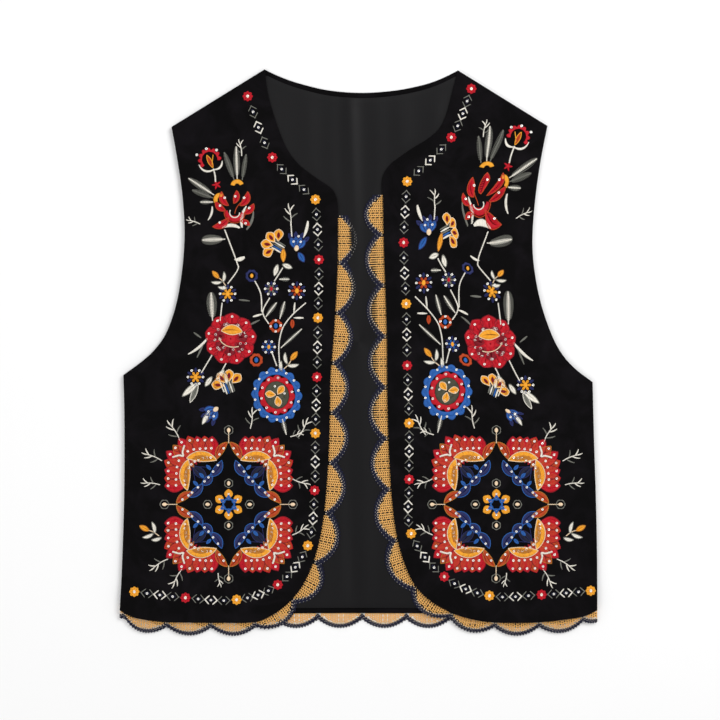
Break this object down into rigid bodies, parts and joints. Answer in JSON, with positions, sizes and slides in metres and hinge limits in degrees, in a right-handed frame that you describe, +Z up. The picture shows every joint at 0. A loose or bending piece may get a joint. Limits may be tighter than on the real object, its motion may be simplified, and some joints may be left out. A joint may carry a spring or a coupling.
{
  "type": "embroidered folk vest",
  "caption": "Open-fronted sleeveless black velvet folk vest laid flat, with flower embroidery, satin back lining and scalloped gold lace edging.",
  "frame": {"origin": "middle of the laid-out vest's outline, on the surface it lies on", "axes": "+X to the right as seen from above, +Y from the hem towards the neck, +Z up off the surface"},
  "size_m": [0.4761, 0.5652, 0.0059],
  "materials": {
    "velvet": "black cotton velvet, soft short pile",
    "lining_satin": "charcoal satin lining, smooth with a dull shine",
    "gold_lace": "gold and navy crocheted lace ribbon",
    "navy_edging": "navy crocheted edge of the lace ribbon",
    "embroidery_thread": "machine embroidery in shiny rayon thread, many colours",
    "sequin": "clear and silvery cup sequins sewn on with a bead"
  },
  "bodies": {
    "root": {"back": "velvet", "back_lining": "lining_satin", "front_left": "velvet", "front_right": "velvet", "lace_back": "gold_lace", "lace_front_left": "gold_lace", "lace_front_right": "gold_lace"}
  },
  "joints": []
}
